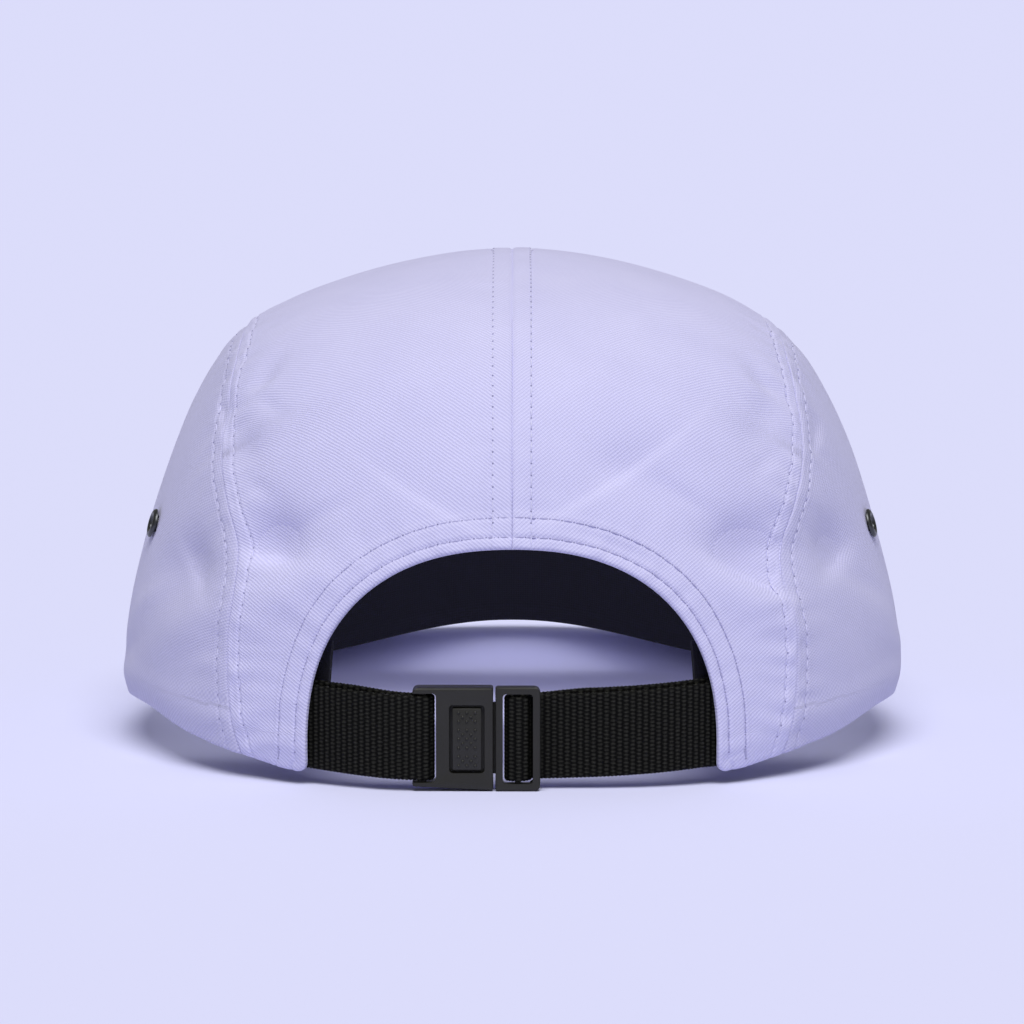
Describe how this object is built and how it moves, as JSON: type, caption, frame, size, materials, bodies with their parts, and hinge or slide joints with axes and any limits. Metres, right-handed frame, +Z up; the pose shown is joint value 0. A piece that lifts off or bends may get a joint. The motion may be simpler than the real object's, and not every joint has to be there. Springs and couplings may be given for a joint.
{
  "type": "five panel cap",
  "caption": "Soft panelled cap with a curved brim, a rear opening and a webbing strap closed by a push buckle.",
  "frame": {"origin": "on the floor under the middle of the cap's outline", "axes": "the brim points to -Y and the rear opening to +Y, +Z is up, +X is the wearer's left"},
  "size_m": [0.1882, 0.2516, 0.1164],
  "materials": {
    "lavender_twill": "matt cotton twill",
    "black_band": "matt woven band",
    "black_webbing": "woven webbing",
    "grey_plastic": "satin moulded plastic",
    "gunmetal": "dark gunmetal"
  },
  "bodies": {
    "root": {"front_panel": "lavender_twill", "side_panel_left": "lavender_twill", "side_panel_right": "lavender_twill", "back_panel_left": "lavender_twill", "back_panel_right": "lavender_twill", "brim": "lavender_twill", "sweatband": "black_band", "strap_left": "black_webbing", "strap_right": "black_webbing", "buckle_female": "grey_plastic", "buckle_male": "grey_plastic", "eyelet_left": "gunmetal", "eyelet_right": "gunmetal"}
  },
  "joints": []
}
